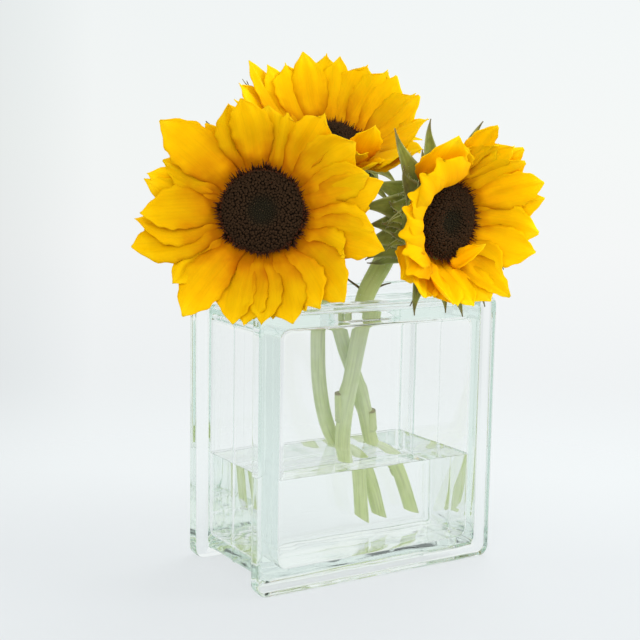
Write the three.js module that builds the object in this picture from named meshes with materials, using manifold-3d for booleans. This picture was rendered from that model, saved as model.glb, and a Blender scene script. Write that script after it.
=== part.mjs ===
// Three cut sunflowers in a clear glass block vase, half filled with water.
// Millimetres, +Z up, the block's square front looking along -Y. While it is built the block stands
// on z = 0 round the Z axis; at the end everything moves so that its box stands over the origin.
import * as THREE from "three";
import { mergeVertices } from "three/addons/utils/BufferGeometryUtils.js";
import Module from "manifold-3d";

const wasm = await Module();
wasm.setup();

// The glass block
const blockSize = 190;
const blockDepth = 104;
const faceGlass = 8;
const sideInset = 17.5;
const endInset = 15;
const blockCorner = 8;
const cavityCorner = 7;
const cornerSteps = 4;
const tightestCorner = 3;
const mouthWidth = 58;
const mouthDepth = 42;
const mouthCorner = 14;
const mouthOverrun = 10;
// How the block's sides run from a face towards the seam: [depth from the face, how far they are set in].
// The plate's rim stands proud, and the walls behind it are set in.
const rimSection = [
  [0, 2.7], [0.9, 0.8], [3, 0], [10.4, 0], [12.5, 1.2], [13.7, 5.1], [15.7, 7.6], [19.5, 8.5], [50.5, 8.5],
];
const seamInset = 7.8;
// The hollow's rounded ends, in the same way.
const hollowSection = [[0, 3], [1, 0.9], [3.2, 0]];

// The water
const waterLevel = 75.5;
const waterGap = 0.3;

// What every bloom shares
const discRadius = 28;
const discDome = 7;
const discDip = 2;
const discEdge = 2;
const discFloor = -3;
const discRings = 8;
const discSpokes = 24;
const discCore = 0.1;
const dipSpread = 0.3;
const spiralTurn = 0.35;
const floretRelief = 1.1;
const ringInner = discRadius + 0.35;
const ringOuter = 32;
const ringTop = 0.3;
const ringFloor = -2.6;
const ringSides = 40;
const petalRoot = 30.4;
const petalThick = 0.7;
const petalLayer = 0.6;
const petalCup = 0.12;
const petalSteps = 4;
const petalWidest = 0.6;
const petalRootShare = 0.55;
const petalTipShare = 0.08;
const bractRoot = 27;
const bractDrop = -9;
const bractThick = 1.2;
const bractCup = 0.22;
const bractSteps = 3;
const bractBreadth = 14;
const bractWidest = 0.25;
const bractRootShare = 0.8;
const bractTipShare = 0.1;
const calyxSides = 20;
// The calyx from its top down to where the stem begins: [radius, height].
const calyxSection = [
  [0, -3.4], [31, -3.4], [32.4, -5.5], [31, -10], [26, -15.5], [17, -21], [9.5, -26], [6.2, -31], [0, -33],
];
const neckDepths = [-29, -42];

// Stems
const stemRadius = 5.4;
const stemSides = 9;
const stemSteps = 18;
const nodeRadius = 5.2;
const nodeLength = 8;
const nodeStep = 2.2;
const nodeSides = 8;
const cutSlant = 42;
const cutRise = 4.5;

const colours = {
  glass: { color: 0xdbe8e3, roughness: 0.03, metalness: 0 },
  water: { color: 0xe6f0ee, roughness: 0.02, metalness: 0 },
  petal: { color: 0xf7b500, roughness: 0.55, metalness: 0 },
  disc: { color: 0x2b1a13, roughness: 0.85, metalness: 0 },
  green: { color: 0x9bad72, roughness: 0.6, metalness: 0 },
};

// Each bloom has the middle of its disc, the way it looks (degrees round from the block's front and up
// from level), its petals, its bracts and the route of its stem.
// A petal is [angle round the disc, reach from the middle, breadth, lift, bend, sweep, twist]; angles in
// degrees, counted from the bloom's right, lift and bend towards the viewer.
// A bract is [angle, reach, lift, bend, sweep].
const blooms = {
  left: {
    middle: [-96, -54, 250.5],
    turn: -31,
    tilt: 11,
    petals: [
      [344, 80, 22, 8, 4, -4, 4],
      [354, 71, 19, 18, -10, 0, -6],
      [11, 77, 23, 10, 0, 4, 6],
      [25, 70, 20, 18, -6, -3, -8],
      [41, 72, 27, 13, 8, 0, 8],
      [57, 73, 21, 20, 2, 0, -10],
      [73, 64, 17, 10, 8, 3, 6],
      [86, 66, 20, 20, 10, 2, 4],
      [98, 71, 24, 26, -6, 2, -4],
      [110, 70, 19, 12, 4, -3, 8],
      [136, 84, 28, 12, 0, 2, -4],
      [151, 69, 19, 22, -8, 4, 8],
      [163, 75, 20, 11, 2, 2, 4],
      [172, 76, 18, 20, -2, -2, -8],
      [181, 77, 25, 26, -8, 2, 2],
      [192, 79, 19, 12, 0, -4, 6],
      [202, 84, 22, 18, -8, -3, -4],
      [217, 72, 20, 10, 6, 6, 6],
      [233, 81, 29, 16, -4, 0, 0],
      [250, 74, 21, 10, 2, 4, -8],
      [262, 73, 23, 22, -8, 2, 4],
      [274, 72, 19, 12, 0, -2, 6],
      [287, 73, 24, 20, -6, 0, -6],
      [302, 72, 21, 11, 2, 0, 4],
      [317, 77, 25, 18, -4, -2, 2],
      [331, 70, 20, 11, 6, 3, -4],
    ],
    bracts: [
      [6, 56, -14, -10, 0], [34, 58, -18, -6, 6], [62, 56, -14, -12, 0], [92, 58, -20, -6, -4],
      [121, 71, -4, -4, 0], [150, 56, -16, -8, 4], [178, 58, -18, -8, 0], [206, 60, -14, -6, -6],
      [236, 56, -18, -8, 0], [268, 58, -16, -10, 4], [300, 58, -18, -6, 0], [334, 58, -14, -8, -4],
    ],
    stem: [
      [-50, -4, 226], [-26, -1, 203], [-10, 3, 182], [-1, 7.5, 164], [8, 13, 147], [25, 18, 113],
      [38, 23, 77], [52, 28, 52], [66, 32, 19],
    ],
    nodes: [[0.63, 20], [0.66, 200], [0.82, 180]],
  },
  top: {
    middle: [-3, 22, 292.5],
    turn: -26,
    tilt: 59,
    petals: [
      [4, 79, 23, 38, 10, 4, 6],
      [18, 78, 22, 45, 0, 0, -6],
      [33, 79, 23, 38, 8, 2, 4],
      [49, 81, 22, 43, 6, -2, -8],
      [64, 79, 24, 37, 10, 0, 6],
      [76, 80, 22, 45, 0, 2, -4],
      [89, 82, 24, 38, 10, 0, 4],
      [102, 82, 22, 46, 2, -2, -6],
      [114, 78, 23, 37, 10, 2, 6],
      [126, 80, 22, 44, 2, 0, -4],
      [139, 88, 24, 38, 10, 0, 4],
      [154, 80, 22, 43, 2, 3, 8],
      [170, 78, 22, 34, 10, 4, 6],
      [186, 76, 21, 42, 2, 0, -6],
      [202, 72, 20, 34, 8, -2, 4],
      [218, 70, 20, 42, 0, 0, -4],
      [234, 70, 20, 36, 6, 2, 4],
      [250, 72, 20, 46, 2, 0, 6],
      [266, 70, 20, 44, 6, -2, -4],
      [281, 72, 20, 54, 2, 0, 4],
      [301, 72, 26, 54, 30, 4, -14],
      [317, 73, 22, 46, 10, 2, -10],
      [321, 69, 18, 6, 0, -2, 10],
      [330, 76, 21, 30, 4, 0, 4],
      [347, 78, 21, 40, 4, 2, -4],
    ],
    bracts: [
      [14, 60, -20, -10, 0], [44, 58, -16, -10, 4], [74, 58, -18, -8, 0], [104, 60, -14, -10, -4],
      [134, 60, -18, -8, 0], [164, 58, -16, -10, 4], [194, 58, -20, -10, 0], [226, 54, -22, -10, -4],
      [258, 54, -24, -12, 0], [290, 56, -26, -10, 4], [320, 60, -24, -10, 0], [346, 60, -22, -8, 0],
    ],
    stem: [
      [9, 39, 234], [-4, 29, 211], [-13, 17, 189], [-15, 13.5, 170], [-9, 20, 122], [5, 28, 86],
      [24, 31, 58], [38, 34, 19],
    ],
    nodes: [[0.33, 150]],
  },
  right: {
    middle: [37, -64, 243.5],
    turn: 8,
    tilt: -4,
    petals: [
      [357, 74, 24, 42, 8, 0, 4],
      [13, 77, 23, 49, 4, 2, -6],
      [28, 78, 24, 40, 12, 0, 6],
      [43, 73, 22, 48, 6, 2, -4],
      [54, 76, 22, 41, 8, 0, 6],
      [67, 74, 22, 49, 0, -2, -6],
      [80, 77, 24, 40, 10, 0, 4],
      [92, 72, 22, 47, 6, 3, 8],
      [105, 78, 25, 38, 10, 0, -10],
      [119, 74, 24, 40, 34, 4, 12],
      [132, 74, 24, 24, 72, 0, -8],
      [147, 72, 23, 34, 70, -3, 10],
      [161, 74, 23, 18, 96, 0, -12],
      [176, 72, 22, 32, 78, 2, 8],
      [190, 74, 22, 18, 88, 0, -6],
      [204, 72, 20, 36, 52, -2, 8],
      [221, 65, 27, 24, 4, 6, 10],
      [234, 70, 24, 46, 6, 0, 6],
      [249, 67, 21, 38, 12, 2, -6],
      [263, 65, 21, 50, 6, 0, 4],
      [277, 66, 20, 42, 8, 0, -4],
      [291, 69, 23, 50, 6, -2, 6],
      [305, 74, 21, 41, 8, 0, -6],
      [321, 74, 23, 49, 2, -2, 6],
      [339, 75, 23, 42, 6, 0, -4],
    ],
    bracts: [
      [2, 66, -10, -6, 0], [30, 58, -12, -8, 4], [56, 68, -4, -8, 0], [80, 62, -6, -10, 0],
      [112, 66, -8, -16, 6], [136, 64, -14, -18, 0], [162, 58, -18, -16, 0], [190, 58, -22, -14, 4],
      [218, 56, -18, -12, 0], [246, 57, 10, -4, 0], [272, 63, 12, 0, 0], [298, 65, 12, 0, 4],
      [328, 66, 4, -2, 0],
    ],
    stem: [
      [33, -11, 233], [23, -14, 213], [12, -10, 190], [8.5, -5.5, 165], [7, 1, 137], [7, 13, 88],
      [13, 21, 60], [19, 27, 20],
    ],
    nodes: [[0.6, 200]],
  },
};

const toRad = THREE.MathUtils.degToRad;

function toManifold(geometry) {
  const bare = geometry.clone();
  bare.deleteAttribute("normal");
  bare.deleteAttribute("uv");
  const welded = mergeVertices(bare, 1e-4);
  const mesh = new wasm.Mesh({
    numProp: 3,
    vertProperties: new Float32Array(welded.attributes.position.array),
    triVerts: new Uint32Array(welded.index.array),
  });
  return new wasm.Manifold(mesh);
}

function toGeometry(solid) {
  const mesh = solid.getMesh();
  const geometry = new THREE.BufferGeometry();
  geometry.setAttribute("position", new THREE.BufferAttribute(new Float32Array(mesh.vertProperties), 3));
  geometry.setIndex(new THREE.BufferAttribute(new Uint32Array(mesh.triVerts), 1));
  return geometry;
}

function joined(geometries) {
  return geometries.map(toManifold).reduce((whole, part) => whole.add(part));
}

function meshFrom(points, triangles) {
  const geometry = new THREE.BufferGeometry();
  geometry.setAttribute("position", new THREE.Float32BufferAttribute(points.flatMap((p) => p.toArray()), 3));
  geometry.setIndex(triangles);
  return geometry;
}

// A closed skin over rings that all have the same number of points, with a fan at each end.
function loft(rings) {
  const count = rings[0].length;
  const points = rings.flat();
  const triangles = [];
  for (let ring = 0; ring < rings.length - 1; ring += 1) {
    for (let side = 0; side < count; side += 1) {
      const next = (side + 1) % count;
      const a = ring * count + side;
      const b = ring * count + next;
      triangles.push(a, b, b + count, a, b + count, a + count);
    }
  }
  const last = (rings.length - 1) * count;
  for (let side = 1; side < count - 1; side += 1) {
    triangles.push(0, side + 1, side, last, last + side, last + side + 1);
  }
  return meshFrom(points, triangles);
}

// A rounded rectangle standing across the depth at y, seen from the back so that rings run the same way.
function blockSection(y, halfWidth, floor, ceiling, corner) {
  const points = [];
  const middles = [
    [halfWidth - corner, ceiling - corner, 0],
    [-halfWidth + corner, ceiling - corner, 90],
    [-halfWidth + corner, floor + corner, 180],
    [halfWidth - corner, floor + corner, 270],
  ];
  for (const [x, z, start] of middles) {
    for (let step = 0; step <= cornerSteps; step += 1) {
      const angle = toRad(start + (90 * step) / cornerSteps);
      points.push(new THREE.Vector3(x + corner * Math.cos(angle), y, z + corner * Math.sin(angle)));
    }
  }
  return points.reverse();
}

// The block's outside: two square plates whose rims stand proud of the walls between them, with a low
// ridge where the two cast halves are fused.
function blockOutside() {
  const front = rimSection.map(([depth, inset]) => [depth - blockDepth / 2, inset]);
  const back = front.map(([y, inset]) => [-y, inset]).reverse();
  return loft([...front, [0, seamInset], ...back].map(([y, inset]) => {
    const corner = Math.max(blockCorner - inset, tightestCorner);
    return blockSection(y, blockSize / 2 - inset, inset, blockSize - inset, corner);
  }));
}

// The hollow inside the block, or the water in it when shrunk all round by a gap and given a level.
function hollow(gap, ceiling) {
  const half = blockDepth / 2 - faceGlass - gap;
  const front = hollowSection.map(([depth, inset]) => [depth - half, inset]);
  const back = front.map(([y, inset]) => [-y, inset]).reverse();
  return loft([...front, ...back].map(([y, inset]) => {
    const width = blockSize / 2 - sideInset - gap - inset;
    return blockSection(y, width, endInset + gap + inset, ceiling - inset, cavityCorner);
  }));
}

// The mouth is a round-ended slot through the top wall.
function mouthCut() {
  const shape = new THREE.Shape();
  const x = mouthWidth / 2;
  const y = mouthDepth / 2;
  shape.moveTo(x - mouthCorner, -y);
  shape.absarc(x - mouthCorner, -y + mouthCorner, mouthCorner, -Math.PI / 2, 0, false);
  shape.absarc(x - mouthCorner, y - mouthCorner, mouthCorner, 0, Math.PI / 2, false);
  shape.absarc(-x + mouthCorner, y - mouthCorner, mouthCorner, Math.PI / 2, Math.PI, false);
  shape.absarc(-x + mouthCorner, -y + mouthCorner, mouthCorner, Math.PI, Math.PI * 1.5, false);
  const depth = endInset + 2 * mouthOverrun;
  const cut = new THREE.ExtrudeGeometry(shape, { depth, bevelEnabled: false, curveSegments: 5 });
  cut.translate(0, 0, blockSize - endInset - mouthOverrun);
  return cut;
}

// A thin blade: its midrib is an arc that leaves the disc at an angle and bends on the way, and its
// breadth, sweep and twist follow the share of the length that is done.
function blade(shape) {
  const { angle, root, drop, reach, breadth, lift, bend, sweep, twist, thick, steps, cup, outline } = shape;
  const length = reach - root;
  const top = [];
  const bottom = [];
  for (let step = 0; step <= steps; step += 1) {
    const along = step / steps;
    const half = (toRad(bend) * along) / 2;
    const chord = length * along * (half === 0 ? 1 : Math.sin(half) / half);
    const slope = toRad(lift) + half;
    const out = root + chord * Math.cos(slope);
    const up = drop + chord * Math.sin(slope);
    const round = toRad(angle + sweep * along * along);
    const radial = new THREE.Vector3(Math.cos(round), Math.sin(round), 0);
    const side = new THREE.Vector3(-Math.sin(round), Math.cos(round), 0);
    const pitch = slope + half;
    const normal = radial.clone().multiplyScalar(-Math.sin(pitch));
    normal.z = Math.cos(pitch);
    const roll = toRad(twist) * along;
    const across = side.clone().multiplyScalar(Math.cos(roll)).addScaledVector(normal, Math.sin(roll));
    const facing = normal.clone().multiplyScalar(Math.cos(roll)).addScaledVector(side, -Math.sin(roll));
    const middle = radial.clone().multiplyScalar(out);
    middle.z = up;
    const wide = (breadth / 2) * outline(along);
    for (const share of [-1, 0, 1]) {
      const point = middle.clone().addScaledVector(across, share * wide);
      point.addScaledVector(facing, cup * wide * (Math.abs(share) - 0.5));
      top.push(point.clone().addScaledVector(facing, thick / 2));
      bottom.push(point.clone().addScaledVector(facing, -thick / 2));
    }
  }
  return thickSheet(top, bottom, steps, 3);
}

// Closes two like grids of points, one above the other, into a thin solid.
function thickSheet(top, bottom, steps, wide) {
  const points = [...top, ...bottom];
  const under = top.length;
  const triangles = [];
  for (let row = 0; row < steps; row += 1) {
    for (let column = 0; column < wide - 1; column += 1) {
      const a = row * wide + column;
      const b = a + 1;
      const c = a + wide;
      const d = c + 1;
      triangles.push(a, c, b, b, c, d);
      triangles.push(under + a, under + b, under + c, under + b, under + d, under + c);
    }
  }
  const edge = [];
  for (let column = 0; column < wide; column += 1) edge.push(column);
  for (let row = 1; row <= steps; row += 1) edge.push(row * wide + wide - 1);
  for (let column = wide - 2; column >= 0; column -= 1) edge.push(steps * wide + column);
  for (let row = steps - 1; row > 0; row -= 1) edge.push(row * wide);
  edge.forEach((a, place) => {
    const b = edge[(place + 1) % edge.length];
    triangles.push(a, b, under + b, a, under + b, under + a);
  });
  return meshFrom(points, triangles);
}

// The share of a blade's breadth along it: it swells from its root to its widest place, then runs to a tip.
function swelling(along, widest, rootShare, tipShare, fullness) {
  if (along < widest) {
    return rootShare + (1 - rootShare) * Math.sin((Math.PI / 2) * (along / widest));
  }
  const past = (along - widest) / (1 - widest);
  return Math.max(Math.cos((Math.PI / 2) * past ** fullness), tipShare);
}

function petalOutline(along) {
  return swelling(along, petalWidest, petalRootShare, petalTipShare, 1.5);
}

function bractOutline(along) {
  return swelling(along, bractWidest, bractRootShare, bractTipShare, 0.8);
}

// The petals of one bloom grow together at their roots, in a narrow yellow ring round the disc.
function petalWhorl(bloom) {
  const band = [[ringInner, ringFloor], [ringOuter, ringFloor], [ringOuter, ringTop], [ringInner, ringTop]];
  const outline = [...band, band[0]].map(([r, z]) => new THREE.Vector2(r, z));
  const ring = new THREE.LatheGeometry(outline, ringSides);
  ring.rotateX(Math.PI / 2);
  const petals = bloom.petals.map(([angle, reach, breadth, lift, bend, sweep, twist], place) => blade({
    angle, reach, breadth, lift, bend, sweep, twist,
    root: petalRoot,
    drop: (ringTop + ringFloor) / 2 + (place % 2 === 0 ? -petalLayer : petalLayer),
    thick: petalThick,
    steps: petalSteps,
    cup: petalCup,
    outline: petalOutline,
  }));
  return joined([ring, ...petals]);
}

// The disc is a low dome, a little sunk in the middle, with its florets as small pyramids in spirals.
function discSolid() {
  const rings = [];
  for (let ring = 0; ring <= discRings; ring += 1) {
    const share = discCore + ((1 - discCore) * ring) / discRings;
    const dome = discEdge + (discDome - discEdge) * Math.cos((Math.PI / 2) * share ** 1.5);
    const dip = discDip * Math.exp(-((share / dipSpread) ** 2));
    const points = [];
    for (let spoke = 0; spoke < discSpokes; spoke += 1) {
      const angle = (2 * Math.PI * (spoke + ring * spiralTurn)) / discSpokes;
      const crest = (ring + spoke) % 2 === 0 && ring < discRings ? floretRelief : 0;
      const radius = discRadius * share;
      points.push(new THREE.Vector3(radius * Math.cos(angle), radius * Math.sin(angle), dome - dip + crest));
    }
    rings.push(points);
  }
  const foot = rings[discRings].map((p) => new THREE.Vector3(p.x, p.y, discFloor));
  return loft([foot, ...rings.reverse()]);
}

function calyxSolid() {
  const outline = [...calyxSection].reverse().map(([r, z]) => new THREE.Vector2(r, z));
  const cup = new THREE.LatheGeometry(outline, calyxSides);
  cup.rotateX(Math.PI / 2);
  return cup;
}

function bractBlade([angle, reach, lift, bend, sweep]) {
  return blade({
    angle, reach, lift, bend, sweep,
    root: bractRoot,
    drop: bractDrop,
    breadth: bractBreadth,
    twist: 0,
    thick: bractThick,
    steps: bractSteps,
    cup: bractCup,
    outline: bractOutline,
  });
}

// A bloom's own frame: z along the way it looks, y as near up as it can be.
function bloomFrame(bloom) {
  const turn = toRad(bloom.turn);
  const tilt = toRad(bloom.tilt);
  const facing = new THREE.Vector3(
    Math.sin(turn) * Math.cos(tilt),
    -Math.cos(turn) * Math.cos(tilt),
    Math.sin(tilt),
  );
  const right = new THREE.Vector3(0, 0, 1).cross(facing).normalize();
  const up = facing.clone().cross(right);
  return new THREE.Matrix4().makeBasis(right, up, facing).setPosition(...bloom.middle);
}

function placed(geometry, frame) {
  const copy = geometry.clone();
  copy.applyMatrix4(frame);
  return copy;
}

function stemCurve(bloom, frame) {
  const neck = neckDepths.map((depth) => new THREE.Vector3(0, 0, depth).applyMatrix4(frame));
  const route = bloom.stem.map((p) => new THREE.Vector3(...p));
  return new THREE.CatmullRomCurve3([...neck, ...route], false, "centripetal");
}

// A stem is a round rod along its route, cut on the slant at its foot, with a low swelling on one side
// where each leaf was taken off. Grown by a gap it is the hole that the stem stands in.
function stemParts(curve, nodes, grow) {
  const circle = new THREE.Shape();
  circle.absarc(0, 0, stemRadius + grow, 0, 2 * Math.PI, false);
  const section = new THREE.Shape(circle.getSpacedPoints(stemSides).slice(0, -1));
  const sweep = { steps: stemSteps, extrudePath: curve, bevelEnabled: false };
  const rod = new THREE.ExtrudeGeometry(section, sweep);
  const swellings = nodes.map(([share, round]) => {
    const bead = new THREE.SphereGeometry(1, nodeSides, 5);
    const radius = nodeRadius + grow;
    bead.scale(radius, nodeLength + grow, radius);
    const along = curve.getTangentAt(share);
    bead.applyQuaternion(new THREE.Quaternion().setFromUnitVectors(new THREE.Vector3(0, 1, 0), along));
    const place = curve.getPointAt(share);
    place.x += nodeStep * Math.cos(toRad(round));
    place.y += nodeStep * Math.sin(toRad(round));
    bead.translate(place.x, place.y, place.z);
    return bead;
  });
  return [rod, ...swellings];
}

// What the slanted cut takes off a stem's foot: everything past a plane that leans to the right.
function footCut(curve) {
  const along = curve.getTangentAt(1);
  const facing = along.clone().applyAxisAngle(new THREE.Vector3(0, 1, 0), toRad(cutSlant));
  const size = 6 * stemRadius;
  const block = new THREE.BoxGeometry(size, size, size);
  block.translate(0, 0, size / 2);
  block.applyQuaternion(new THREE.Quaternion().setFromUnitVectors(new THREE.Vector3(0, 0, 1), facing));
  const place = curve.getPointAt(1).addScaledVector(along, -cutRise);
  block.translate(place.x, place.y, place.z);
  return block;
}

// Fills the hole's foot out past the end of the stem by the same gap.
function footGap(curve) {
  const radius = stemRadius + 3 * waterGap;
  const plug = new THREE.CylinderGeometry(radius, radius, 4 * waterGap, stemSides);
  const along = curve.getTangentAt(1);
  plug.applyQuaternion(new THREE.Quaternion().setFromUnitVectors(new THREE.Vector3(0, 1, 0), along));
  const place = curve.getPointAt(1);
  plug.translate(place.x, place.y, place.z);
  return plug;
}

function named(name, geometry, look) {
  const mesh = new THREE.Mesh(geometry, new THREE.MeshStandardMaterial(look));
  mesh.name = name;
  return mesh;
}

const cavityCeiling = blockSize - endInset;
let vaseSolid = toManifold(blockOutside());
vaseSolid = vaseSolid.subtract(toManifold(hollow(0, cavityCeiling)));
vaseSolid = vaseSolid.subtract(toManifold(mouthCut()));

let waterSolid = toManifold(hollow(waterGap, cavityCeiling));
const airAbove = new THREE.BoxGeometry(blockSize, blockDepth, blockSize);
airAbove.translate(0, 0, waterLevel + blockSize / 2);
waterSolid = waterSolid.subtract(toManifold(airAbove));

const vase = new THREE.Group();
for (const [place, bloom] of Object.entries(blooms)) {
  const frame = bloomFrame(bloom);
  const curve = stemCurve(bloom, frame);
  const calyx = placed(calyxSolid(), frame);
  const bracts = bloom.bracts.map((row) => placed(bractBlade(row), frame));
  const stem = joined(stemParts(curve, bloom.nodes, 0)).subtract(toManifold(footCut(curve)));
  const green = joined([calyx, ...bracts]).add(stem);
  waterSolid = waterSolid.subtract(joined([...stemParts(curve, bloom.nodes, waterGap), footGap(curve)]));
  const petals = toGeometry(petalWhorl(bloom));
  vase.add(named(`${place}_petals`, placed(petals, frame), colours.petal));
  vase.add(named(`${place}_disc`, placed(discSolid(), frame), colours.disc));
  vase.add(named(`${place}_stem_and_bracts`, toGeometry(green), colours.green));
}
vase.add(named("glass_vase", toGeometry(vaseSolid), colours.glass));
vase.add(named("water", toGeometry(waterSolid), colours.water));

const box = new THREE.Box3().setFromObject(vase);
vase.position.set(-(box.min.x + box.max.x) / 2, -(box.min.y + box.max.y) / 2, -box.min.z);

export default vase;
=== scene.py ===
# Three cut sunflowers in a clear glass block vase, half filled with water.
# Lengths are millimetres with the block standing round the Z axis, as in the part's source. fromMm turns
# a finished mesh into the frame's metres.
import random
from functools import partial
from math import atan2, cos, exp, hypot, pi, radians, sin, sqrt, tan

import bmesh
import bpy
from mathutils import Matrix, Quaternion, Vector


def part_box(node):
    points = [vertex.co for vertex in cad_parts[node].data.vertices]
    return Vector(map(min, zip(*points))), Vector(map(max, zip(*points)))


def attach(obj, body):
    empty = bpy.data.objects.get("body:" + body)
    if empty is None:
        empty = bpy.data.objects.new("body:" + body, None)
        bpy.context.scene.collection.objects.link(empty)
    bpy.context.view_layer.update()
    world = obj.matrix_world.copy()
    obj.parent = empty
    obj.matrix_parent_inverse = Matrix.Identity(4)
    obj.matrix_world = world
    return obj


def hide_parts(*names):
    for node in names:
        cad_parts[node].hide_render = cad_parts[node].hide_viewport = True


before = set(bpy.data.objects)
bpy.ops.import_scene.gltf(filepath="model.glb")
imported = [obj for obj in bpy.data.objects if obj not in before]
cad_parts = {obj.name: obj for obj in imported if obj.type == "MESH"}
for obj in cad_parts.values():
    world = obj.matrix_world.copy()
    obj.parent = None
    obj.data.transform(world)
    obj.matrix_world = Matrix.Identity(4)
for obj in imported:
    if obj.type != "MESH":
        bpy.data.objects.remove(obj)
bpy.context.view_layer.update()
scene = bpy.context.scene

vaseLow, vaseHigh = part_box("glass_vase")
vaseMiddle = Vector(((vaseLow.x + vaseHigh.x) / 2, (vaseLow.y + vaseHigh.y) / 2, vaseLow.z))
millimetre = 0.001
fromMm = Matrix.Translation(vaseMiddle) @ Matrix.Scale(millimetre, 4)

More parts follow.
